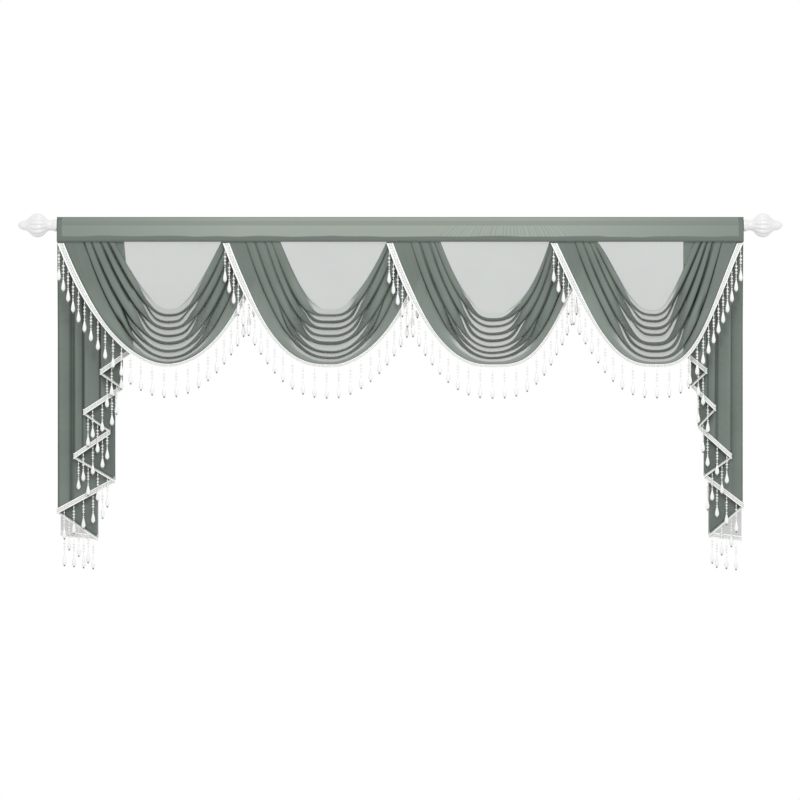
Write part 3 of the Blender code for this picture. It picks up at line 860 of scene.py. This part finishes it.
def fold_state(swag, turn, along):
    """How the folded cloth lies at a turn: its line, how open the fold is there from 0 to 1,
    the distance between fold lines, and the share of the way from corner to lowest point.
    turn counts folds down from the neck: whole numbers are the middle of a fold's face, and
    EDGE_TURN more is about its lower edge."""
    folds = len(SWAGS[swag]) - 2
    inner_line = min(max(turn, 0), folds - 1)
    inner, _ = swag_point(swag, inner_line, along)
    outer, run = swag_point(swag, inner_line + 1, along)
    pitch = (outer - inner).length
    # the folds flatten towards the panel, the hem's band and where the lines meet
    opened = smooth(0, 1, pitch / FULL_PITCH)
    opened *= smooth(-EDGE_TURN, NECK_OPEN, turn)
    opened *= 1 - smooth(folds - 1 - EDGE_TURN, folds - 1, turn)
    by_fold, by_side, by_swag = LAP_WAVES
    swell = math.sin(by_fold * round(turn) + by_side * along + by_swag * SWAGS[swag][0][0])
    uneven = 1 + LAP_UNEVEN * swell
    lap = mix(CORNER_LAP, BELLY_LAP, smooth(*LAP_REACH, run)) * uneven
    edge = math.acos(-1 / lap)
    shift = 1 - (edge + lap * math.sin(edge)) / (2 * math.pi)
    shift += BELLY_SINK * smooth(*LAP_REACH, run)
    line = turn + shift + opened * lap * math.sin(2 * math.pi * turn) / (2 * math.pi)
    if turn > folds - 1:
        line = mix(folds - 1 + shift, folds, (turn - folds + 1) / (1 - EDGE_TURN))
    return min(max(line, 0), folds), opened, pitch, run


def folded_point(swag, turn, along):
    line, opened, _, run = fold_state(swag, turn, along)
    point, _ = swag_point(swag, line, along)
    depth = smooth(0, DEPTH_REACH, run) * smooth(0, PLEAT_DROP, BAND_BOTTOM - point.z)
    depth = mix(CORNER_PLEAT, BELLY_FOLD, depth)
    curl = CURL * smooth(0, CURL_REACH, run)
    point.y -= opened * depth * math.sin(2 * math.pi * turn + curl)
    return point


def covers_next(swag, along):
    """Whether this side of the swag lies over its neighbour."""
    return along < 0.5 or swag == LAST_SWAG


def at_outer_side(swag, along):
    return (swag == FIRST_SWAG and along < 0.5) or (swag == LAST_SWAG and along > 0.5)


def sheerness(swag, turn, fold, part, along, run):
    """Cover of the cloth, and how far it has gone over from gathered side to belly: the sides
    hold many layers, the belly one or two."""
    folds = len(SWAGS[swag]) - 2
    in_band = turn > folds - 1
    shares = FRONT_SHEER if covers_next(swag, along) else BEHIND_SHEER
    if swag == FIRST_SWAG and along < 0.5:
        shares = FIRST_SHEER
    start = mix(*shares, fold / folds)
    start += SHEER_UNEVEN * math.sin(SHEER_WAVE * fold + 2 * CREASE_PHASE * SWAGS[swag][0][0])
    slant = SHEER_SLANT
    if fold == 0:
        start += NECK_STAYS[swag]
        slant = NECK_SLANT
    if in_band:
        start = max(start, BAND_STAYS)
    belly = smooth(start, start + SHEER_RUN, run - slant * part)
    sheer = mix(BELLY_COVERS[swag], BAND_COVER, smooth(*BAND_EDGE, part) if in_band else 0)
    cover = mix(FLANK_COVER, sheer, belly)
    if turn < 0:
        cover = mix(SHEER_COVER, cover, smooth(-EDGE_TURN, 0, turn))
    return cover, belly


def crease_strength(swag, fold, along, run, belly):
    """How dark the painted shade line under a fold's lower edge is."""
    phase = CREASE_PHASE * SWAGS[swag][0][0]
    near_hem = smooth(*NEAR_HEM, fold / (len(SWAGS[swag]) - 2))
    deep = mix(FAINT_CREASE, 1.0, near_hem * (FRONT_DEEP if covers_next(swag, along) else 1))
    if at_outer_side(swag, along):
        deep = OUTER_CREASE
    deep *= 1 + CREASE_UNEVEN * math.sin(FLANK_WAVES[0] * run + FLANK_WAVES[1] * fold + phase)
    deep *= mix(BAND_CREASE, 1.0, smooth(*BAND_CREASE_REACH, run))
    swell = math.sin(BELLY_WAVES[0] * along + BELLY_WAVES[1] * fold + 2 * phase)
    across_belly = BELLY_CREASE * (1 + CREASE_UNEVEN * swell)
    return min(mix(deep, across_belly, belly), 1.0)


def fold_marks(swag, turn, along):
    """Cover of the folded cloth at a turn, with its painted crease shade and painted ridge highlight."""
    folds = len(SWAGS[swag]) - 2
    line, opened, pitch, run = fold_state(swag, turn, along)
    fold = min(round(turn), folds - 1)
    in_band = turn > folds - 1
    part = min(max(line - fold, 0), 1)
    outer_side = at_outer_side(swag, along)
    cover, belly = sheerness(swag, turn, fold, part, along, run)
    strength = crease_strength(swag, fold, along, run, belly)
    behind = abs(turn - fold)
    if behind > HIDDEN_TURNS[0] and not in_band:
        hidden = mix(*HIDDEN_SHADES, smooth(*HIDDEN_TURNS, behind))
        return cover, hidden * strength * opened * (1 - HIDDEN_BELLY * belly), 0.0

    # shade from the crease above and towards the fold's own edge
    below_crease = max(line - fold, 0) * pitch
    above_edge = max(fold + 1 - line, 0) * pitch
    reach = mix(FLANK_REACH, BELLY_REACH, belly)
    power = mix(*REACH_POWERS, belly)
    # a wider painted shade where the last folds on an outer side gape
    gape_shade = 0.0
    if outer_side and fold >= folds - GAPE_FOLDS:
        gape_shade = math.exp(-(((run - GAPES[swag]) / GAPE_RUN) ** 2))
    crease_shade = strength * math.exp(-((below_crease / reach) ** power)) if fold > 0 else 0
    if not in_band:
        on_flank = strength * math.exp(-((above_edge / FLANK_OVER) ** FLANK_OVER_POWER))
        on_flank = max(FLANK_UNDER * part**FLANK_UNDER_POWER, on_flank)
        over = FLANK_OVER * (1 + GAPE_WIDER * gape_shade)
        crease_shade = max(crease_shade, gape_shade * math.exp(-((above_edge / over) ** GAPE_POWER)))
        on_belly = BELLY_UNDER * strength * math.exp(-((above_edge / BELLY_UNDER_REACH) ** 2))
        crease_shade = max(crease_shade, opened * mix(on_flank, on_belly, belly))
    # painted shade on the gathered cloth near the corners, and a painted shade line along the neck
    crease_shade = max(crease_shade, (1 - belly) * mix(CORNER_SHADE, 0, smooth(*CORNER_SHADE_REACH, run)))
    if fold == 0:
        crease_shade = max(crease_shade, NECK_SHADE * math.exp(-((below_crease / NECK_SHADE_REACH) ** 2)))
    if in_band:
        from_strip = above_edge - trim_half(swag, swag_point(swag, folds, along)[0])
        beside = math.exp(-max(from_strip, 0) / STRIP_SHADE_REACH)
        shade = mix(STRIP_SHADE if outer_side else FAINT_STRIP_SHADE, HEM_SHADES[swag], belly)
        crease_shade = max(crease_shade, shade * beside)

    # the light along a fold's upper edge, and down the middle of its face
    ridge = RIDGE_LIGHT * (OUTER_RIDGE if outer_side else 1) * (1 - belly) * opened
    ridge *= math.exp(-(((below_crease - RIDGE_PLACE) / RIDGE_HALF) ** 2))
    ridge = max(ridge, MIDDLE_LIGHT * smooth(*MIDDLE_REACH, run) * (1 - belly) * (1 - part))
    # the cloth is made to hide more where it carries painted crease shade
    return mix(cover, CREASE_COVER, crease_shade), crease_shade, ridge


def build_swag(swag, material):
    folds = len(SWAGS[swag]) - 2
    rows = PANEL_ROWS + ROWS_IN_FOLD * folds
    back = FRONT_CORNER if swag == LAST_SWAG else BACK_CORNER
    left_end, _, right_end, _ = SWAGS[swag][1]

    def place(across, down):
        row = down * rows
        if row >= PANEL_ROWS:
            turn = mix(-EDGE_TURN, folds - EDGE_TURN, (row - PANEL_ROWS) / (rows - PANEL_ROWS))
            return folded_point(swag, turn, across)
        neck = folded_point(swag, -EDGE_TURN, across)
        share = row / PANEL_ROWS
        height = min(mix(CLOTH_TOP, neck.z, share), CLOTH_TOP)
        top = mix(FRONT_CORNER, back, (neck.x - left_end) / (right_end - left_end))
        below = smooth(0, 1, (BAND_BOTTOM - height) / max(BAND_BOTTOM - neck.z, 1.0))
        return Vector((neck.x, mix(top, neck.y, below), height))

    def marks(across, down):
        row = down * rows
        if row < PANEL_ROWS:
            return SHEER_COVER, 0.0, 0.0
        turn = mix(-EDGE_TURN, folds - EDGE_TURN, (row - PANEL_ROWS) / (rows - PANEL_ROWS))
        return fold_marks(swag, turn, across)

    bm = cloth_grid(SWAG_COLUMNS, rows, SWAG_FLAT, place, marks)
    piece = add_piece(swag.replace("swag", "swag_cloth"), bm, [material], [swag])
    thicken(piece, VOILE)
    return piece


# ---------------------------------------------------------------- tails


def spread_share(height):
    return min(max((CLOTH_TOP - height) / (CLOTH_TOP - SPREAD_HEIGHT), 0), 1)


def tail_depth(layer, height):
    share = spread_share(height)
    return TAIL_FRONT - TAIL_LEAN * share + layer * mix(LAYER_AT_TOP, LAYER_AT_HEM, share)


def tail_line(name, column):
    """Layer, place at the heading, place at the hem and hem height of the line that is column
    pleats from the short edge. The cloth turns round to the next layer at whole numbers."""
    edges = TAILS[name]
    pleat = min(int(column), len(edges) - 2)
    share = column - pleat
    nearest = round(column)
    off_fold = column - nearest
    layer = pleat
    if 0 < nearest < len(edges) - 1 and abs(off_fold) < FOLD_SHARE:
        layer = nearest - 0.5 + 0.5 * math.sin(math.pi / 2 * off_fold / FOLD_SHARE)
    top, low, hem = (mix(a, b, share) for a, b in zip(edges[pleat], edges[pleat + 1]))
    return layer, top, low, hem


def tail_point(name, column, height_share):
    layer, top, low, hem = tail_line(name, column)
    height = mix(CLOTH_TOP, hem, height_share)
    return Vector((mix(top, low, height_share), tail_depth(layer, height), height))


def tail_marks(name, column, height_share):
    """Cover of the tail's cloth, with its painted crease shade and painted ridge highlight."""
    edges = TAILS[name]
    pleat = min(int(column), len(edges) - 2)
    point = tail_point(name, column, height_share)
    outward = math.copysign(1, edges[0][1] - edges[-1][1])
    cover = SHEER_COVER if pleat == len(edges) - 2 else TAIL_COVER
    crease_shade = RETURN_SHADE if pleat % 2 else TAIL_TONE
    ridge = 0.0
    # painted shade beside the edge of the pleat in front
    if pleat in TAIL_CREASE_SHADES[name]:
        offset, inner, outer, strength = TAIL_CREASE_SHADES[name][pleat]
        in_front = edges[pleat - 1]
        beside = (mix(in_front[0], in_front[1], height_share) - point.x) * outward - offset
        line = math.exp(-((beside / (outer if beside > 0 else inner)) ** 2))
        soft = math.exp(-max(beside, 0) / TAIL_SOFT_REACH) if beside > -inner else 0.0
        crease_shade = max(crease_shade, strength * line, mix(TAIL_TONE, TAIL_SOFT, soft))
    # a painted highlight along the pleat's own edge, where another lies behind it
    if pleat + 2 in TAIL_CREASE_SHADES[name]:
        own = edges[pleat + 1]
        from_edge = (point.x - mix(own[0], own[1], height_share)) * outward
        ridge = RIDGE_LIGHT * math.exp(-(((from_edge - RIDGE_PLACE) / RIDGE_HALF) ** 2))
    # painted shade under the hem of the pleat in front
    if pleat > 0:
        (_, x0, z0), (_, x1, z1) = edges[pleat - 1], edges[pleat]
        share = (point.x - x0) / (x1 - x0)
        below = mix(z0, z1, share) - TRIM_HALF - point.z
        if below > 0 and 0 < share < 1:
            under = UNDER_HEM_SHADE * math.exp(-below / UNDER_HEM_REACH)
            if pleat % 2:
                under = max(under, INSIDE_FOLD * math.exp(-(1 - share) * abs(x1 - x0) / INSIDE_FOLD_REACH))
            ends = smooth(0, UNDER_HEM_ENDS, share) * smooth(0, UNDER_HEM_ENDS, 1 - share)
            crease_shade = max(crease_shade, under * ends)
    return cover, crease_shade, ridge


def build_tail(name, material):
    pleats = len(TAILS[name]) - 1

    def place(across, down):
        return tail_point(name, across * pleats, down)

    def marks(across, down):
        return tail_marks(name, across * pleats, down)

    bm = cloth_grid(pleats * TAIL_COLUMNS_A_PLEAT, TAIL_ROWS, TAIL_FLAT, place, marks)
    piece = add_piece(name.replace("tail", "tail_cloth"), bm, [material], [name])
    thicken(piece, VOILE)
    return piece


# ---------------------------------------------------------------- galloon and beads


def turned_shape(bm, profile, sides, material_index):
    """A closed turned shape about Z from (how far down, radius) rows."""
    before = len(bm.faces)
    spin_profile(bm, [(radius, 0, -down) for down, radius in profile], (0, 0, 1), sides)
    bm.faces.ensure_lookup_table()
    for face in bm.faces[before:]:
        face.smooth = True
    close_ends(bm)
    bm.faces.ensure_lookup_table()
    for face in bm.faces[before:]:
        face.material_index = material_index


def strand_mesh():
    """One beaded strand hanging down from the origin: thread, cut crystals, round beads, a pearl
    drop and its metal tip."""
    bm = bmesh.new()
    thread_length = DROP_PROFILE[0][0] + 2

    def at(z):
        return Matrix.Translation((0, 0, z * MM))

    bmesh.ops.create_cone(
        bm,
        segments=4,
        radius1=THREAD_RADIUS * MM,
        radius2=THREAD_RADIUS * MM,
        depth=thread_length * MM,
        matrix=at(-thread_length / 2 + 1),
    )
    def bead(down, radius, half_height, sides, rings):
        made = bmesh.ops.create_uvsphere(
            bm, u_segments=sides, v_segments=rings, radius=radius * MM, matrix=at(-down)
        )
        bmesh.ops.scale(bm, verts=made["verts"], vec=(1, 1, half_height / radius), space=at(down))

    for sizes in CRYSTALS:
        bead(*sizes, CRYSTAL_SIDES, 2)
    for sizes in ROUND_BEADS:
        bead(*sizes, BEAD_SIDES, 3)
    turned_shape(bm, DROP_PROFILE, DROP_SIDES, 0)
    turned_shape(bm, TIP_PROFILE, TIP_SIDES, 1)
    mesh = bpy.data.meshes.new("strand")
    bm.to_mesh(mesh)
    bm.free()
    return mesh


def hang_strands(name, roots, lengths, materials):
    """Copies of the strand under the given points, each turned a little differently."""
    bm = bmesh.new()
    for number, root in enumerate(roots):
        before = len(bm.verts)
        bm.from_mesh(strand)
        bm.verts.ensure_lookup_table()
        new = bm.verts[before:]
        sway = STRAND_SWAY * noise.noise(root / SWAY_SIZE)
        turn = Matrix.Rotation(number * STRAND_TURN, 3, "Z") @ Matrix.Rotation(sway, 3, "Y")
        bmesh.ops.scale(bm, verts=new, vec=(1, 1, lengths[number]))
        bmesh.ops.rotate(bm, verts=new, matrix=turn)
        bmesh.ops.translate(bm, verts=new, vec=root * MM)
    return add_piece(name, bm, materials, smooth_all=False)


def braid_relief(across, along):
    """Height of the braid's surface: a rolled cord at each edge and a lattice between them."""
    edge = math.exp(-(((abs(across) - CORD_PLACE) / CORD_HALF) ** 2))
    lattice = 0.5 + 0.5 * math.cos(2 * math.pi * along / LATTICE_PITCH) * math.cos(math.pi * across * 2)
    return CORD_RELIEF * edge + LATTICE_RELIEF * lattice * (1 - edge)


def down_the_hem(swag, height):
    """The share of the way a height is from the band down to the hem's lowest point."""
    return (BAND_BOTTOM - height) / (BAND_BOTTOM - SWAGS[swag][-1][1])


def trim_half(swag, edge):
    """Half the width of a swag's strip at a point of the hem."""
    in_front = edge.x < SWAGS[swag][0][0] or swag == LAST_SWAG
    high = FRONT_TRIM_HALF if in_front else TRIM_HALF
    return mix(high, LOW_TRIM_HALF, smooth(*TRIM_NARROWS, down_the_hem(swag, edge.z)))


def build_galloon(name, node, stations, material):
    """A strip through stations: the middle of the strip, the vector from there to its upper
    edge, the unit vector it faces, and the length along it."""
    rows = len(stations) - 1

    def place(across, down):
        centre, sideways, facing, along = stations[round((1 - across) * rows)]
        offset = 1 - 2 * down
        relief = braid_relief(offset, along)
        return centre + sideways * offset + facing * relief

    length = stations[-1][3]
    bm = cloth_grid(rows, TRIM_COLUMNS, (length, 2 * TRIM_HALF), place)
    piece = add_piece(name, bm, [material], [node])
    thicken(piece, STRIP_THICKNESS)
    return piece


def swag_hem(swag):
    """Points of the swag's hem that show below the band, each with the direction across it."""
    folds = len(SWAGS[swag]) - 2
    last = 1.0 if swag == LAST_SWAG else 1.0 - HIDDEN_END
    points = []
    for step in range(HEM_STEPS + 1):
        along = last * step / HEM_STEPS
        edge, _ = swag_point(swag, folds, along)
        inside, _ = swag_point(swag, folds - INSIDE_HEM, along)
        if edge.z < BAND_BOTTOM - TRIM_TOP_DROP:
            points.append((edge, (inside - edge).normalized()))
    return points


def dress_swag(swag, galloon, pearl):
    hem = swag_hem(swag)
    lengths = running_lengths([edge for edge, _ in hem])
    total = lengths[-1]

    def at(length):
        first = max(k for k in range(len(lengths) - 1) if lengths[k] <= length + 1e-6)
        share = (length - lengths[first]) / (lengths[first + 1] - lengths[first])
        (edge, across), (next_edge, next_across) = hem[first], hem[first + 1]
        return edge.lerp(next_edge, share), across.lerp(next_across, share).normalized()

    facing = Vector((0, -1, 0))
    steps = int(total / TRIM_STEP)
    stations = []
    for k in range(steps + 1):
        edge, across = at(total * k / steps)
        half = trim_half(swag, edge)
        stations.append((edge + facing * STRIP_OFF, across * half, facing, total * k / steps))
    number = int((total - 2 * FOLD_CLEARANCE) / STRAND_PITCH) + 1
    spare = (total - (number - 1) * STRAND_PITCH) / 2
    roots, strand_lengths = [], []
    for k in range(number):
        edge, across = at(spare + k * STRAND_PITCH)
        roots.append(edge - across * trim_half(swag, edge) + facing * TRIM_OFF)
        strand_lengths.append(mix(1.0, LOW_STRAND, smooth(*TRIM_NARROWS, down_the_hem(swag, edge.z))))
    label = swag.replace("swag_", "")
    strip = build_galloon("swag_galloon_" + label, "swag_trim_" + label, stations, galloon)
    beads = hang_strands("swag_beads_" + label, roots, strand_lengths, pearl)
    return [strip, beads]


def dress_tail(name, galloon, pearl):
    edges = TAILS[name]
    last = len(edges) - 2
    stations, roots = [], []
    along = 0.0
    before = None
    up = Vector((0, 0, TRIM_HALF))
    for pleat in range(last + 1):
        (_, x0, z0), (_, x1, z1) = edges[pleat], edges[pleat + 1]
        towards = math.copysign(1, x1 - x0)
        face = 1 if pleat % 2 == 0 else -1
        facing = Vector((0, -face, 0))
        first = x0 if pleat == 0 else x0 + towards * face * TRIM_OFF
        final = x1 if pleat == last else x1 + towards * face * TRIM_OFF

        def centre(x, off):
            height = mix(z0, z1, (x - x0) / (x1 - x0))
            return Vector((x, tail_depth(pleat, height), height)) + facing * off

        steps = int(abs(final - first) / TRIM_STEP)
        for k in range(steps + 1):
            here = centre(mix(first, final, k / steps), STRIP_OFF)
            along += (here - before).length if before else 0.0
            before = here
            stations.append((here, up, facing, along))
        phase = 0 if face > 0 else TAIL_STRAND_STEP / 2
        hang = 0 if face > 0 else RETURN_HANG
        low, high = sorted((first, final))
        first_spot = math.ceil((low + FOLD_CLEARANCE - phase) / TAIL_STRAND_STEP)
        last_spot = math.floor((high - FOLD_CLEARANCE - phase) / TAIL_STRAND_STEP)
        for k in range(first_spot, last_spot + 1):
            root = centre(phase + k * TAIL_STRAND_STEP, TRIM_OFF)
            roots.append(root - up - Vector((0, hang, 0)))
        if pleat < last:
            turn = Vector((towards * face, 0, 0))
            bend = Vector((x1 + towards * face * TURN_OFF, tail_depth(pleat + 0.5, z1), z1))
            along += (bend - before).length
            before = bend
            stations.append((bend, up, turn, along))
    label = name.replace("tail_", "")
    strip = build_galloon("tail_galloon_" + label, "tail_trim_" + label, stations, galloon)
    beads = hang_strands("tail_beads_" + label, roots, [TAIL_STRAND] * len(roots), pearl)
    return [strip, beads]


# ---------------------------------------------------------------- light, floor and camera

VIEW_WIDTH = 2330.6
CAMERA_BACK = 24.0
CAMERA_SIDE = -0.7
CAMERA_HEIGHT = -508.9
FLOOR_HEIGHT = -2000.0
AMBIENT = 0.92
# the rest of the stage is in metres
FLOOR_SIZE = 2.4
KEY_PLACE = (0.3, -4.3, 2.2)
KEY_AIM = (0, 0, -0.4)
KEY_SIZE = 1.2
KEY_POWER = 62


def add_area_light(name, place, aim, size, power):
    lamp = bpy.data.lights.new(name, "AREA")
    lamp.shape = "DISK"
    lamp.size = size
    lamp.energy = power
    light = bpy.data.objects.new(name, lamp)
    light.location = place
    light.rotation_euler = (Vector(aim) - Vector(place)).to_track_quat("-Z", "Y").to_euler()
    bpy.context.collection.objects.link(light)


def set_the_stage():
    scene = bpy.context.scene
    world = bpy.data.worlds.new("studio")
    scene.world = world
    world.use_nodes = True
    tree = world.node_tree
    around = tree.nodes["Background"]
    around.inputs["Color"].default_value = (1, 1, 1, 1)
    around.inputs["Strength"].default_value = AMBIENT
    backdrop = tree.nodes.new("ShaderNodeBackground")
    backdrop.inputs["Color"].default_value = (1, 1, 1, 1)
    rays = tree.nodes.new("ShaderNodeLightPath")
    either = tree.nodes.new("ShaderNodeMixShader")
    tree.links.new(rays.outputs["Is Camera Ray"], either.inputs["Fac"])
    tree.links.new(around.outputs["Background"], either.inputs[1])
    tree.links.new(backdrop.outputs["Background"], either.inputs[2])
    tree.links.new(either.outputs["Shader"], tree.nodes["World Output"].inputs["Surface"])
    add_area_light("key", KEY_PLACE, KEY_AIM, KEY_SIZE, KEY_POWER)
    scene.view_settings.view_transform = "Standard"
    scene.cycles.transparent_max_bounces = 40

    bm = bmesh.new()
    level = Matrix.Translation((0, 0, FLOOR_HEIGHT * MM))
    bmesh.ops.create_grid(bm, x_segments=1, y_segments=1, size=FLOOR_SIZE, matrix=level)
    mesh = bpy.data.meshes.new("floor")
    bm.to_mesh(mesh)
    bm.free()
    floor = bpy.data.objects.new("floor", mesh)
    bpy.context.collection.objects.link(floor)
    pale = Nodes("pale_floor")
    pale.set("Base Color", (0.82, 0.82, 0.81, 1))
    pale.set("Roughness", 0.7)
    mesh.materials.append(pale.material)

    lens = bpy.data.cameras.new("camera")
    lens.sensor_width = 36.0
    lens.lens = lens.sensor_width * CAMERA_BACK / (VIEW_WIDTH * MM)
    lens.clip_end = 100.0
    camera = bpy.data.objects.new("camera", lens)
    camera.location = (CAMERA_SIDE * MM, -CAMERA_BACK, CAMERA_HEIGHT * MM)
    camera.rotation_euler = (math.pi / 2, 0, 0)
    bpy.context.collection.objects.link(camera)
    scene.camera = camera


# ---------------------------------------------------------------- assembly

SAGE = (0.232, 0.274, 0.242)
swag_voile = voile_material("sage_voile", SAGE)
galloon_white = galloon_material()
bead_pearl = pearl_material("bead_pearl", (0.90, 0.905, 0.895), 0.16)
bead_tip = pearl_material("bead_tip", (0.22, 0.22, 0.22), 0.3)
bead_set = [bead_pearl, bead_tip]
finial_pearl = pearl_material("finial_pearl", (0.80, 0.80, 0.80), 0.28)
rod_paint = pearl_material("rod_paint", (0.84, 0.84, 0.84), 0.35)

set_the_stage()
strand = strand_mesh()
heading = build_heading()
build_finial("finial_left", -1, finial_pearl)
build_finial("finial_right", 1, finial_pearl)
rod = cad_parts["rod"]
rod.data.materials.clear()
rod.data.materials.append(rod_paint)

for swag_name in SWAGS:
    swag_piece = build_swag(swag_name, swag_voile)
    edging = dress_swag(swag_name, galloon_white, bead_set)
for tail_name in TAILS:
    tail_piece = build_tail(tail_name, swag_voile)
    edging = dress_tail(tail_name, galloon_white, bead_set)

bpy.data.meshes.remove(strand)
